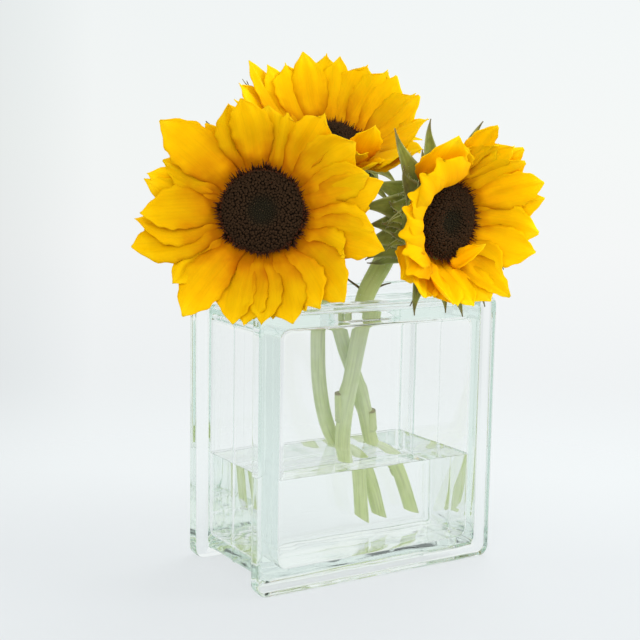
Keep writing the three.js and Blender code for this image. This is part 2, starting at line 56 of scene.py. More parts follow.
# A petal is [angle round the disc, reach from the middle, breadth, lift, bend, sweep, twist], with its angles
# in degrees counted from the bloom's right. A bract is [angle, reach, lift, bend, sweep], and a small one has
# its breadth after the reach. Of a stem, a node is (share of its length, compass angle), and a stub is that
# with its own length and radius.
blooms = {
    "left": {
        "middle": (-96, -54, 250.5), "turn": -31, "tilt": 11,
        "petals": [
            [344, 80, 22, 8, 4, -4, 4], [354, 71, 19, 18, -10, 0, -6], [11, 77, 23, 10, 0, 4, 6],
            [25, 70, 20, 18, -6, -3, -8], [41, 72, 27, 13, 8, 0, 8], [57, 73, 21, 20, 2, 0, -10],
            [73, 64, 17, 10, 8, 3, 6], [86, 66, 20, 20, 10, 2, 4], [98, 71, 24, 26, -6, 2, -4],
            [110, 70, 19, 12, 4, -3, 8], [136, 84, 28, 12, 0, 2, -4], [151, 69, 19, 22, -8, 4, 8],
            [163, 75, 20, 11, 2, 2, 4], [172, 76, 18, 20, -2, -2, -8], [181, 77, 25, 26, -8, 2, 2],
            [192, 79, 19, 12, 0, -4, 6], [202, 84, 22, 18, -8, -3, -4], [217, 72, 20, 10, 6, 6, 6],
            [232, 82, 25, 16, -4, 0, 0], [251, 74, 21, 10, 2, 4, -8], [262, 73, 23, 22, -8, 2, 4],
            [274, 72, 19, 12, 0, -2, 6], [287, 73, 24, 20, -6, 0, -6], [302, 72, 21, 11, 2, 0, 4],
            [317, 77, 25, 18, -4, -2, 2], [331, 60, 20, 11, 6, 3, -4],
        ],
        "bracts": [
            [6, 56, -14, -10, 0], [34, 58, -18, -6, 6], [62, 56, -14, -12, 0], [92, 58, -20, -6, -4],
            [121, 71, -4, -4, 0], [150, 56, -16, -8, 4], [178, 58, -18, -8, 0], [206, 60, -14, -6, -6],
            [236, 56, -18, -8, 0], [268, 58, -16, -10, 4], [300, 58, -18, -6, 0], [334, 58, -14, -8, -4],
        ],
        "stem": [
            (-50, -4, 226), (-26, -1, 203), (-10, 3, 182), (-1, 7.5, 164), (8, 13, 147), (25, 18, 113),
            (38, 23, 77), (52, 28, 52), (66, 32, 19),
        ],
        "nodes": [(0.63, 20), (0.66, 200), (0.82, 180)], "neck": (3.4, 26),
        "stubs": [(0.745, 320, 16, 4.2), (0.86, 170, 5, 2.2)],
        "smallBracts": [], "wisps": [], "discRadius": 25.6, "petalsFrom": -0.16, "broader": 1.2, "blunt": 0.2,
        "onTop": [98, 181, 136, 232], "gapToFill": 9, "notches": [232], "loose": [], "rolls": {},
        "petalShadesAndLight": ["#C97900", "#D98C00", "#E6A300", "#EBB400", "#F1C300", "#F8D00C"],
    },
    "top": {
        "middle": (-3, 22, 292.5), "turn": -26, "tilt": 59,
        "petals": [
            [4, 79, 23, 38, 10, 4, 6], [18, 78, 22, 45, 0, 0, -6], [33, 79, 23, 38, 8, 2, 4],
            [49, 81, 22, 43, 6, -2, -8], [64, 79, 24, 37, 10, 0, 6], [76, 80, 22, 45, 0, 2, -4],
            [89, 82, 24, 38, 10, 0, 4], [102, 82, 22, 46, 2, -2, -6], [114, 78, 23, 37, 10, 2, 6],
            [126, 80, 22, 44, 2, 0, -4], [139, 88, 24, 38, 10, 0, 4], [154, 80, 22, 43, 2, 3, 8],
            [170, 78, 22, 34, 10, 4, 6], [186, 76, 21, 42, 2, 0, -6], [202, 72, 20, 34, 8, -2, 4],
            [218, 70, 20, 42, 0, 0, -4], [234, 70, 20, 36, 6, 2, 4], [250, 72, 20, 46, 2, 0, 6],
            [266, 70, 20, 44, 6, -2, -4], [281, 70, 20, 50, 2, 0, 4],
            [317, 73, 22, 34, 6, 2, -10], [321, 69, 18, 6, 0, -2, 10], [330, 76, 21, 30, 4, 0, 4],
            [347, 78, 21, 40, 4, 2, -4],
        ],
        "bracts": [
            [14, 60, -20, -10, 0], [44, 58, -16, -10, 4], [74, 58, -18, -8, 0], [104, 60, -14, -10, -4],
            [134, 60, -18, -8, 0], [164, 58, -16, -10, 4], [194, 58, -20, -10, 0], [226, 54, -22, -10, -4],
            [258, 54, -24, -12, 0], [290, 56, -26, -10, 4], [320, 60, -24, -10, 0], [346, 60, -22, -8, 0],
        ],
        "stem": [
            (9, 39, 234), (-4, 29, 211), (-13, 17, 189), (-15, 13.5, 170), (-9, 20, 122), (5, 28, 86),
            (24, 31, 58), (38, 34, 19),
        ],
        "nodes": [(0.33, 150)], "neck": (3.4, 26),
        "stubs": [],
        "smallBracts": [[135, 88, 9, 28, -6, 2]],
        "wisps": [([(-36, 79.6, 336.5), (-35, 78.2, 332.2), (-35.8, 78, 326), (-30.5, 73, 321)], 0.6)],
        "discRadius": 24.5, "petalsFrom": -0.2, "broader": 1.3, "blunt": 0.3,
        "onTop": [102], "gapToFill": 20, "notches": [],
        "loose": [[303, 66, 19, 72, -12, 0, 0], [26, 83, 14, -13, -10, 0, 0], [13, 78, 16, -17, -10, 0, 8]],
        "rolls": {303: -34},
        "petalShadesAndLight": ["#D68800", "#E49C00", "#F2B300", "#F7C300", "#FAD100", "#FDDC10"],
    },
    "right": {
        "middle": (37, -64, 243.5), "turn": 8, "tilt": -4,
        "petals": [
            [357, 74, 24, 42, 8, 0, 4], [13, 77, 23, 49, 4, 2, -6], [28, 78, 24, 40, 12, 0, 6],
            [43, 73, 22, 48, 6, 2, -4], [54, 76, 22, 41, 8, 0, 6], [67, 74, 22, 49, 0, -2, -6],
            [73, 67, 24, 39, 10, 0, 4], [80, 81, 16, 40, 6, 5, 0], [101, 60, 22, 40, 4, -4, 0],
            [122, 78, 27, 51, -11, -8, 0], [134, 78, 27, 114, -140, 0, 0], [147, 74, 26, 112, -148, 0, 4],
            [159, 72, 25, 110, -150, 0, -4], [172, 71, 25, 106, -145, 0, 4], [185, 72, 25, 104, -142, 0, 0],
            [198, 70, 24, 98, -126, 0, 4], [211, 67, 22, 80, -90, 0, 0], [223, 54, 24, 18, -8, 0, 0],
            [234, 67, 24, 44, 6, 0, 6],
            [249, 67, 21, 38, 12, 2, -6], [263, 65, 21, 50, 6, 0, 4], [277, 66, 20, 42, 8, 0, -4],
            [291, 69, 23, 50, 6, -2, 6], [305, 74, 21, 41, 8, 0, -6], [321, 61, 23, 49, 2, -2, 6],
            [339, 75, 23, 42, 6, 0, -4],
        ],
        "bracts": [
            [5, 76, 34, -6, 4], [29, 73, 31, -6, -2], [46, 73, 20, -8, 0], [67, 73, 13, -8, 0],
            [99, 66, -5, -10, 0], [132, 74, 11, -16, -4], [151, 58, -16, -16, 4], [166, 62, -14, -16, 8],
            [184, 53, -24, -10, 0], [198, 57, -28, -12, 0], [212, 58, -34, -16, 0], [227, 60, -46, -20, 0],
            [257, 66, 1, -10, 0], [278, 64, 13, -4, 0], [291, 73, 14, 0, 0], [308, 75, 19, 0, -2],
            [332, 71, 22, -2, 0],
        ],
        "stem": [
            (33, -11, 233), (23, -14, 213), (12, -10, 190), (8.5, -5.5, 165), (7, 1, 137), (7, 13, 88),
            (13, 21, 60), (19, 27, 20),
        ],
        "nodes": [(0.6, 200)], "neck": (4.6, 60),
        "stubs": [(0.69, 165, 22, 3.5)],
        "smallBracts": [
            [137, 46, 7, 4, 0, -2], [129, 50, 8, 27, 0, -4], [152, 42, 6, 8, 0, 0], [178, 43, 9, -4, -10, 4],
            [205, 44, 9, -16, -12, 0]],
        "wisps": [
            ([(-5.1, 2.4, 207.2), (-1.8, -0.4, 202.4), (2.1, -3.5, 198.4), (6, -6.5, 195),
              (9.4, -9, 192)], 0.7),
            ([(26.3, -18.6, 197.5), (21.5, -15.9, 196), (14, -12, 192)], 0.9),
            ([(19.5, -50.2, 185.4), (22, -51.1, 189.5), (24.9, -52.9, 199)], 0.7)],
        "discRadius": 24.6, "petalsFrom": -0.22, "broader": 1.2, "blunt": 0,
        "onTop": [28, 249, 305], "gapToFill": 14, "notches": [], "loose": [[286, 56, 12, 122, -15, 34, 0]],
        "rolls": {
            67: -8, 73: -12, 80: -20, 101: -20, 122: -38, 134: -24, 147: -12, 159: 0, 172: 4, 185: 8,
            198: 12, 211: 18, 286: 65},
        "petalShadesAndLight": ["#E89A00", "#F4AE00", "#FDC200", "#FECC00", "#FFD600", "#FFE014"],
    },
}


def linear(shade):
    channels = [int(shade[i:i + 2], 16) / 255 for i in (1, 3, 5)]
    return tuple(c / 12.92 if c <= 0.04045 else ((c + 0.055) / 1.055) ** 2.4 for c in channels) + (1,)


# The level direction at a turn, counted from +X toward +Y.
def heading(turn):
    return Vector((cos(turn), sin(turn), 0))


def startMaterial(name):
    material = bpy.data.materials.new(name)
    material.use_nodes = True
    material.node_tree.nodes.clear()
    return material, partial(addNode, material.node_tree)


# Adds one node: its settings, its inputs and the stops of a colour ramp. Inputs are given by name or, as a
# list, in their order on the node. A node given as an input stands for its first output.
def addNode(tree, kind, inputs=(), stops=(), **settings):
    node = tree.nodes.new("ShaderNode" + kind)
    for name, value in settings.items():
        setattr(node, name, value)
    for name, value in inputs.items() if isinstance(inputs, dict) else enumerate(inputs):
        if isinstance(value, bpy.types.Node):
            value = value.outputs[0]
        if isinstance(value, bpy.types.NodeSocket):
            tree.links.new(value, node.inputs[name])
        else:
            node.inputs[name].default_value = value
    if stops:
        ramp = node.color_ramp
        while len(ramp.elements) < len(stops):
            ramp.elements.new(0.5)
        for element, (place, shade) in zip(ramp.elements, stops):
            element.position = place
            element.color = linear(shade) if isinstance(shade, str) else (shade, shade, shade, 1)
    return node


# What each point's share says, as X, Y and Z: how far along it is, how far across or up, and its tone.
def readShare(add):
    share = add("Attribute", attribute_name="share").outputs["Vector"]
    return add("SeparateXYZ", [share]).outputs


# An empty bmesh with the named marks for its points, and the marks themselves.
def newMesh(*names):
    bm = bmesh.new()
    layers = bm.verts.layers.float_vector
    for name in names:
        layers.new(name)
    return bm, *(layers[name] for name in names)


def addObject(name, bm, place=Matrix()):
    bmesh.ops.recalc_face_normals(bm, faces=bm.faces)
    bm.transform(place)
    mesh = bpy.data.meshes.new(name)
    bm.to_mesh(mesh)
    bm.free()
    thing = bpy.data.objects.new(name, mesh)
    scene.collection.objects.link(thing)
    return thing


# Puts a finished bmesh into the scene as a piece that rides with the object.
def makePiece(name, bm, materials, node, thick=0, lastStep=None):
    for face in bm.faces:
        face.smooth = True
    piece = addObject(name, bm, fromMm)
    for material in materials:
        piece.data.materials.append(material)
    if thick:
        wall = piece.modifiers.new("wall", "SOLIDIFY")
        wall.thickness = thick * millimetre
        wall.offset = 0
    if lastStep:
        lastStep(piece)
    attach(piece, "root")
    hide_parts(node)


def makeGreen(place, kind, bm, materials, thick=0, lastStep=None):
    makePiece(f"{place}{kind}", bm, materials, f"{place}_stem_and_bracts", thick, lastStep)


# A seeded stream, and draws from it by the name of a range. Of two ranges the second is for a petal on top.
def drawing(seed, look):
    stream = random.Random(seed)

    def pick(name, *which):
        low, high = look[name][which[0]] if which else look[name]
        return stream.uniform(low, high)

    return stream, pick


# Adds a small bmesh to a large one. Hundreds of small shapes are made a few dozen at a time, for speed.
def joinInto(whole, part):
    mesh = bpy.data.meshes.new("part")
    part.to_mesh(mesh)
    part.free()
    whole.from_mesh(mesh)
    bpy.data.meshes.remove(mesh)


# Takes a bmesh round a list of rings by extruding one face from ring to ring.
def loftRings(bm, rings):
    count = len(rings[0])
    bmesh.ops.create_circle(bm, cap_ends=True, radius=1, segments=count)
    order = bm.verts.layers.int.new("order")
    grain = bm.verts.layers.float_vector.get("grain")
    for vert in bm.verts:
        vert[order] = round(atan2(vert.co.y, vert.co.x) / (2 * pi) * count) % count
    bm.faces.ensure_lookup_table()
    face = bm.faces[0]
    for place, ring in enumerate(rings):
        if place:
            made = bmesh.ops.extrude_face_region(bm, geom=[face])
            if place > 1:
                bmesh.ops.delete(bm, geom=[face], context="FACES_ONLY")
            face = [item for item in made["geom"] if isinstance(item, bmesh.types.BMFace)][0]
        for vert in face.verts:
            point = ring[vert[order]]
            vert.co = point[0] if grain else point
            if grain:
                vert[grain] = point[1]
    bm.verts.layers.int.remove(order)


# Spins a line of (radius, height) points round the Z axis.
def spinProfile(bm, profile, steps):
    chain = [bm.verts.new((radius, 0, height)) for radius, height in profile]
    edges = [bm.edges.new(pair) for pair in zip(chain, chain[1:])]
    bmesh.ops.spin(bm, geom=chain + edges, cent=(0, 0, 0), axis=(0, 0, 1), angle=2 * pi,
                   steps=steps, use_merge=True)
    bmesh.ops.remove_doubles(bm, verts=bm.verts, dist=0.001)


# Cuts off what lies beyond a plane and fills the cut.
def cutOff(bm, point, normal):
    cut = bmesh.ops.bisect_plane(
        bm, geom=bm.verts[:] + bm.edges[:] + bm.faces[:], plane_co=point, plane_no=normal, clear_outer=True)
    rim = [item for item in cut["geom_cut"] if isinstance(item, bmesh.types.BMEdge)]
    return bmesh.ops.contextual_create(bm, geom=rim)["faces"]


# Adds a cone round an axis, with its middle at a point. cone is its sides, foot radius and top radius.
def addCone(bm, whole, middle, axis, cone, height):
    sides, foot, top = cone
    turned = Vector((0, 0, 1)).rotation_difference(axis).to_matrix().to_4x4()
    whole = whole @ Matrix.Translation(middle) @ turned
    made = bmesh.ops.create_cone(
        bm, cap_ends=True, segments=sides, radius1=foot, radius2=top, depth=height, matrix=whole)
    return made["verts"], whole


# Petals and bracts are flat grids bent along the solid's own arc. A tooth is a notch in the tip, a crinkle a
# fine wave in the edge, and a hook takes the tip to one side.
bladeLook = {
    "teeth": 1.3, "toothShift": 3, "tipPower": 6, "crinkles": 5.3, "crinkleSlant": 0.3, "crinklePower": 3,
    "hookFrom": 0.7, "hookScale": 11, "grainStep": 9,
}


def swelling(along, widest, rootShare, fullness, tipShare):
    if along < widest:
        return rootShare + (1 - rootShare) * sin(pi / 2 * max(along, 0) / widest)
    past = min((along - widest) / (1 - widest), 1)
    return max(cos(pi / 2 * past ** fullness), tipShare)


# The midrib's place and the blade's two directions at a share of its length.
def midrib(blade, along):
    half = radians(blade["bend"]) * along / 2
    chord = (blade["reach"] - blade["root"]) * along
    if abs(half) > 1e-6:
        chord *= sin(half) / half
    slope = radians(blade["lift"]) + half
    radial = heading(radians(blade["angle"] + blade["sweep"] * along * along))
    side = Vector((-radial.y, radial.x, 0))
    middle = radial * (blade["root"] + chord * cos(slope))
    middle.z = blade["drop"] + chord * sin(slope)
    normal = radial * -sin(slope + half) + Vector((0, 0, cos(slope + half)))
    roll = radians(blade["roll"] + blade["twist"] * along)
    return middle, side * cos(roll) + normal * sin(roll), normal * cos(roll) - side * sin(roll)


def growBlade(bm, grain, share, blade, relief, frameOfBloom):
    look = bladeLook
    made = bmesh.ops.create_grid(bm, x_segments=blade["columns"], y_segments=blade["rows"], size=0.5)
    length = blade["reach"] - blade["root"]
    edges = []
    for vert in made["verts"]:
        across = 2 * vert.co.x
        along = blade["from"] + (1 - blade["from"]) * (vert.co.y + 0.5)
        wide = blade["breadth"] / 2 * swelling(
            along, blade["widest"], blade["rootShare"], blade["fullness"], blade["tip"])
        tooth = sin(look["teeth"] * pi * across + look["toothShift"] * blade["phase"]) ** 2
        shorter = blade["tooth"] * tooth + blade["round"] * across * across
        along *= 1 - shorter * max(along, 0) ** look["tipPower"]
        middle, sideways, facing = midrib(blade, along)
        wide *= 1 + blade["skew"] * across * sin(pi * max(along, 0))
        wave = sin(2 * pi * (look["crinkles"] * along + look["crinkleSlant"] * across + blade["phase"]))
        wide *= 1 + blade["crinkle"] * abs(across) ** look["crinklePower"] * wave * max(along, 0)
        hooked = blade["hook"] * max(along - look["hookFrom"], 0) ** 2 * look["hookScale"]
        point = middle + sideways * (across * wide + hooked) + facing * relief(blade, across, along, wide)
        vert.co = frameOfBloom @ point
        vert[grain] = (across * wide, along * length, blade["seed"] * look["grainStep"])
        vert[share] = (along * blade["shown"], across, blade["tone"])
        if abs(across) > 0.99:  # the blade's edge, where down can grow
            edges.append((vert.co.copy(), frameOfBloom.to_3x3() @ (sideways * across)))
    return edges


def bloomFrame(bloom):
    turn, tilt = radians(bloom["turn"]), radians(bloom["tilt"])
    facing = Vector((sin(turn) * cos(tilt), -cos(turn) * cos(tilt), sin(tilt)))
    right = Vector((0, 0, 1)).cross(facing).normalized()
    whole = Matrix((right, facing.cross(right), facing)).transposed().to_4x4()
    whole.translation = bloom["middle"]
    return whole


# Petals: fresh ray florets, thin and a little see-through, with fine lengthwise veins and shallow pleats.
# Rolled petals curl in over the disc, and blunt ones are toothed.
petalLook = {
    "root": 30.4, "ringHeight": -1.15, "thick": 0.4, "columns": 12, "rows": 30,
    "shadeStops": (0.0, 0.08, 0.24, 0.5, 0.8, 1.0), "tone": (0.93, 1.05),
    "widest": (0.4, 0.56), "rootShare": (0.42, 0.56), "fullness": (0.95, 1.4), "tip": (0.01, 0.05),
    "bluntFullness": 2.0, "bluntTip": 0.14, "bluntTooth": 0.035, "bluntRound": 0.1,
    "rolled": 45, "steep": 50, "rolledFrom": -0.05, "rolledFullness": 1.7, "rolledTip": 0.2,
    "rolledBroader": 1.1, "rolledShown": 0.62, "rolledRuffle": (0.8, 2.2),
    "topHeight": 1.7, "topLift": 2.5, "topBreadth": 0.9,
    "behindReach": 0.93, "notchReach": 0.74, "behindBreadth": 0.85, "behindDrop": -1.8, "behindLift": -4,
    "sway": (-3, 3), "twistShare": 0.5, "roll": ((5, 12), (-3, 3)), "hook": (-1.5, 1.5),
    "skew": (-0.16, 0.16), "cup": (-0.08, 0.12), "cupPower": 1.7, "cupLevel": 0.45,
    "hump": ((0.8, 1.8), (2.4, 3.6)), "humpAt": 0.12, "humpLength": 0.12, "humpRound": 1.4,
    "pleat": 0.85, "pleats": (1.6, 2.6), "pleatPower": 0.7, "crease": 0.5, "creaseWidth": 0.16,
    "fold": ((-0.2, 0.0), (0.0, 0.4)), "foldFrom": 0.2, "foldPower": 1.6,
    "ruffle": (0.7, 2.1), "waves": (0.8, 2.0), "phase": (0, 2), "crinkle": 0.09,
    "curl": (-0.6, 1), "curlRise": 4.0,
}


def petalRelief(blade, across, along, wide):
    look = petalLook
    body = sin(pi * min(max(along, 0), 1))
    rise = blade["cup"] * wide * (abs(across) ** look["cupPower"] - look["cupLevel"])
    hump = exp(-((along - look["humpAt"]) / look["humpLength"]) ** 2)
    rise += blade["hump"] * hump * (1 - look["humpRound"] * across * across)
    pleat = cos(pi * (across * blade["pleats"] + blade["phase"]))
    rise += look["pleat"] * pleat * body ** look["pleatPower"]
    rise -= look["crease"] * exp(-(across / look["creaseWidth"]) ** 2) * body
    turned = max(across * blade["side"] - look["foldFrom"], 0) ** look["foldPower"]
    rise += blade["fold"] * turned * wide * body
    edge = across * abs(across)
    rise += blade["ruffle"] * edge * sin(2 * pi * (along * blade["waves"] + blade["phase"])) * along
    return rise + look["curlRise"] * blade["curl"] * max(along, 0) ** 4


def petalMaterial(place, shades):
    material, add = startMaterial(f"sunflower petal {place}")  # soft, matt, glows a little from behind
    grain = add("Attribute", attribute_name="grain").outputs["Vector"]
    share = readShare(add)
    # veins about 1.2 mm apart, drawn many times longer than they are wide
    stretched = add("Mapping", {"Vector": grain, "Scale": (0.85, 0.045, 1)})
    veins = add("TexNoise", {"Vector": stretched, "Scale": 1, "Detail": 4})
    patches = add("TexNoise", {"Vector": grain, "Scale": 0.09, "Detail": 2})
    wander = add("MapRange", [patches, 0.3, 0.7, -0.1, 0.1])
    reached = add("Math", [share["X"], wander], operation="ADD")
    # deeper orange toward the root: partly the petal's own colour, partly painted shade near the disc
    lengthwise = add("ValToRGB", [reached], stops=list(zip(petalLook["shadeStops"], shades)))
    streaks = add("ValToRGB", [veins], stops=[(0.34, 0.8), (0.5, 0.94), (0.64, 1.0)])
    veined = add("MixRGB", [0.3, lengthwise, streaks], blend_type="MULTIPLY")
    # painted shade: the narrow inner end darkens to a deep orange along both its edges, where the creases
    # between petals lie in shade
    sideways = add("Math", [share["Y"]], operation="ABSOLUTE")
    nearEdge = add("MapRange", [sideways, 0.4, 1.0, 0.0, 0.85])
    nearRoot = add("MapRange", [reached, 0.05, 0.55, 1.0, 0.0])
    creaseShade = add("Math", [nearEdge, nearRoot], operation="MULTIPLY")
    deep = add("MixRGB", [creaseShade, veined, linear("#C06A00")])
    toned = add("HueSaturation", {"Color": deep, "Value": share["Z"]})
    nearTip = add("MapRange", [reached, 0.94, 1.08, 0.0, 0.2])
    tipped = add("MixRGB", [nearTip, toned, linear("#B4B41E")])
    relief = add("Bump", {"Height": veins, "Strength": 0.25, "Distance": 0.0004})
    skin = add("BsdfPrincipled", {
        "Base Color": tipped, "Roughness": 0.6, "Specular IOR Level": 0.06, "Normal": relief})
    glow = add("BsdfTranslucent", {"Color": tipped})
    both = add("MixShader", [0.33, skin, glow])
    add("OutputMaterial", {"Surface": both})
    return material


# The listed petals with their heights, and a further one behind each wide gap between two of them. Lift and
# bend are evened out between neighbours, so that each petal lies along the next, but a few lie on top and the
# loose ones go their own way.
def petalRows(bloom):
    look = petalLook
    rows = []
    listed = bloom["petals"]
    for number, row in enumerate(listed):
        onTop = row[0] in bloom["onTop"]
        near = [listed[number - 1], row, row, listed[(number + 1) % len(listed)]]
        evened = list(row)
        if not any(abs(other[4]) > look["rolled"] for other in near):
            evened[3] = sum(other[3] for other in near) / 4 + look["topLift"] * onTop
            evened[4] = sum(other[4] for other in near) / 4
        rows.append((evened, look["topHeight"] * onTop, onTop))
    ordered = sorted(listed, key=lambda row: row[0] % 360)
    for one, two in zip(ordered, ordered[1:] + ordered[:1]):
        gap = (two[0] - one[0]) % 360
        if gap > bloom["gapToFill"] and max(abs(one[4]), abs(two[4])) < look["rolled"]:
            mean = [(a + b) / 2 for a, b in zip(one, two)]
            mean[0] = one[0] + gap / 2
            reach = "notchReach" if one[0] in bloom["notches"] else "behindReach"
            mean[1] = min(one[1], two[1]) * look[reach]
            mean[2] *= look["behindBreadth"]
            mean[3] = min(one[3], two[3]) + look["behindLift"]
            rows.append((mean, look["behindDrop"], False))
    return rows + [(row, look["topHeight"], True) for row in bloom["loose"]]


def growPetals(place, bloom, seed):
    stream, pick = drawing(seed, petalLook)
    look = petalLook
    bm, grain, share = newMesh("grain", "share")
    frameOfBloom = bloomFrame(bloom)
    for number, (row, height, onTop) in enumerate(petalRows(bloom)):
        angle, reach, breadth, lift, bend, sweep, twist = row
        rolled = abs(bend) > look["rolled"]
        blunt = stream.random() < bloom["blunt"] and not (rolled or onTop)
        kind = "rolled" if rolled else "blunt" if blunt else ""
        broader = look["rolledBroader"] if rolled else look["topBreadth"] if onTop else 1
        growBlade(bm, grain, share, {
            **look, "angle": angle, "reach": reach, "lift": lift, "bend": bend,
            "roll": bloom["rolls"].get(angle, pick("roll", onTop)),
            "breadth": breadth * bloom["broader"] * broader, "sweep": sweep + pick("sway"),
            "twist": twist * look["twistShare"] + pick("sway"),
            "from": look["rolledFrom"] if lift > look["steep"] else bloom["petalsFrom"],
            "drop": look["ringHeight"] + height,
            "widest": pick("widest"), "rootShare": look["rootShare"][onTop],
            "fullness": look[kind + "Fullness"] if kind else pick("fullness"),
            "tip": look[kind + "Tip"] if kind else pick("tip"),
            "tooth": look["bluntTooth"] if blunt else 0, "round": look["bluntRound"] if kind else 0,
            **{name: pick(name) for name in ("hook", "skew", "cup")},
            "hump": pick("hump", onTop), "ruffle": pick("rolledRuffle" if rolled else "ruffle"),
            "fold": pick("fold", onTop), "side": stream.choice((-1, 1)),
            **{name: pick(name) for name in ("pleats", "phase", "waves", "curl", "tone")},
            "shown": look["rolledShown"] if rolled else 1, "seed": seed + number,
        }, petalRelief, frameOfBloom)
    # each bloom's petal shades are partly its own tone and partly painted light: the right bloom's are
    # brighter and the left bloom's darker for how the light falls on them
    skin = petalMaterial(place, bloom["petalShadesAndLight"])
    makePiece(f"{place}Petals", bm, [skin], f"{place}_petals", look["thick"])


for seed, (place, bloom) in enumerate(blooms.items()):
    growPetals(place, bloom, 100 * seed + 11)
print("petals grown")


# Discs: hundreds of tight dark florets in spirals on a low dome. The middle ones are closed buds, the others
# open cups with a style that stands out, and long spikes stand round the rim.
discLook = {
    "dome": 7, "domePower": 1.5, "dip": 2, "dipSpread": 0.3, "edge": 2, "floor": -3,
    "spokes": 48, "rings": 14,
    "florets": 900, "goldenTurn": 137.508, "batch": 30, "spread": (-1, 1), "jitter": 0.5, "sunk": 0.3,
    "lean": (0.1, 0.45), "sway": (-0.12, 0.12), "core": 0.34, "bud": (6, 0.78, 0.3), "budHeight": 1.1,
    "cup": (5, 0.5, 0.9), "cupTone": 0.9, "cupHeight": 1.5, "cupSwell": 1.1, "cupSpread": (-0.3, 0.4),
    "style": (4, 0.32, 0.1), "styleRise": (0.5, 1.3),
    "rimSpikes": 320, "spikeJitter": (-0.4, 0.4), "spikeBand": (0.93, 1.01), "spikeFoot": 1.2,
    "spikeLean": (0.35, 1.3), "spikeTurn": (-0.3, 0.3), "spike": (5, 0.7, 0.08), "spikeHeight": (2.4, 7.5),
    "spikeShare": 0.08, "phase": (0, 6), "wander": 0.04, "wanderWaves": [(3, 1), (8, 0.7), (19, 0.6)],
}


def domeHeight(share):
    look = discLook
    dome = look["edge"] + (look["dome"] - look["edge"]) * cos(pi / 2 * min(share, 1) ** look["domePower"])
    return dome - look["dip"] * exp(-(share / look["dipSpread"]) ** 2)


def discMaterial():
    material, add = startMaterial("dark disc florets")  # nearly black brown, no shine
    share = readShare(add)
    rise = add("ValToRGB", [share["Y"]], stops=[(0.0, "#25190F"), (0.6, "#2B1E12"), (1.0, "#342416")])
    core = add("ValToRGB", [share["Y"]], stops=[(0.0, "#1D190F"), (1.0, "#2D2719")])
    outward = add("MapRange", [share["X"], 0.2, 0.45])
    body = add("MixRGB", [outward, core, rise])
    rim = add("MapRange", [share["X"], 0.93, 1.1])
    tip = add("Math", [share["Y"], 3.0], operation="POWER")
    reddish = add("Math", [rim, tip], operation="MULTIPLY")
    tipped = add("MixRGB", [reddish, body, linear("#6B2A12")])
    fleck = add("MapRange", [share["Z"], 0.93, 0.97, 0.0, 0.45])
    flecked = add("MixRGB", [fleck, tipped, linear("#4A3A2A")])
    skin = add("BsdfPrincipled", {
        "Base Color": flecked, "Roughness": 0.8, "Specular IOR Level": 0.1})
    add("OutputMaterial", {"Surface": skin})
    return material


discSkin = discMaterial()


# One floret or spike: a cone that stands at a point and leans, with its rise written on it.
def addFloret(bm, share, frameOfBloom, foot, lean, cone, height, where, tone):
    axis = lean.normalized()
    verts, whole = addCone(bm, frameOfBloom, foot + axis * height / 2, axis, cone, height)
    back = whole.inverted()
    for vert in verts:
        vert[share] = (where, (back @ vert.co).z / height + 0.5, tone)


def growDisc(place, bloom, seed):
    stream, pick = drawing(seed, discLook)
    look = discLook
    frameOfBloom = bloomFrame(bloom)
    bm, share = newMesh("share")
    radius = bloom["discRadius"]
    phases = [pick("phase") for wave in look["wanderWaves"]]
    profile = [(0, look["floor"]), (radius, look["floor"])]
    for ring in range(look["rings"], -1, -1):
        profile.append((radius * ring / look["rings"], domeHeight(ring / look["rings"])))
    spinProfile(bm, profile, look["spokes"])
    for vert in bm.verts:
        vert[share] = (hypot(vert.co.x, vert.co.y) / radius, 0, 0)
    bm.transform(frameOfBloom)
    spacing = radius / sqrt(look["florets"])
    for number in range(look["florets"]):
        if number % look["batch"] == 0:
            part, mark = newMesh("share")
        where = spacing * sqrt(number + 0.5) / radius
        out = heading(radians(look["goldenTurn"] * number))
        foot = out * where * radius + Vector((0, 0, domeHeight(where) - look["sunk"]))
        foot += Vector((pick("spread"), pick("spread"), 0)) * look["jitter"]
        lean = out * (look["lean"][0] + look["lean"][1] * where ** 2)
        lean += Vector((pick("sway"), pick("sway"), 1))
        tone = stream.random()
        if where < look["core"]:
            tall = look["budHeight"] + where
            addFloret(part, mark, frameOfBloom, foot, lean, look["bud"], tall, where, tone)
        else:
            swell = sin(pi * (where - look["core"]) / (1 - look["core"]))
            tall = look["cupHeight"] + look["cupSwell"] * swell + pick("cupSpread")
            addFloret(part, mark, frameOfBloom, foot, lean, look["cup"], tall, where, tone * look["cupTone"])
            tall += pick("styleRise")
            addFloret(part, mark, frameOfBloom, foot, lean, look["style"], tall, where, tone)
        if number % look["batch"] == look["batch"] - 1:
            joinInto(bm, part)
    part, mark = newMesh("share")
    for number in range(look["rimSpikes"]):
        turn = 2 * pi * (number + pick("spikeJitter")) / look["rimSpikes"]
        out = heading(turn)
        waves = zip(look["wanderWaves"], phases)
        where = pick("spikeBand") + look["wander"] * sum(
            size * sin(times * turn + phase) for (times, size), phase in waves)
        foot = out * where * radius + Vector((0, 0, look["spikeFoot"]))
        lean = out * pick("spikeLean") + Vector((-out.y, out.x, 0)) * pick("spikeTurn")
        lean += Vector((0, 0, 1))
        tall = pick("spikeHeight")
        where += look["spikeShare"]
        addFloret(part, mark, frameOfBloom, foot, lean, look["spike"], tall, where, stream.random())
    joinInto(bm, part)
    makePiece(f"{place}Disc", bm, [discSkin], f"{place}_disc")


for seed, (place, bloom) in enumerate(blooms.items()):
    growDisc(place, bloom, 100 * seed + 29)
print("discs set")
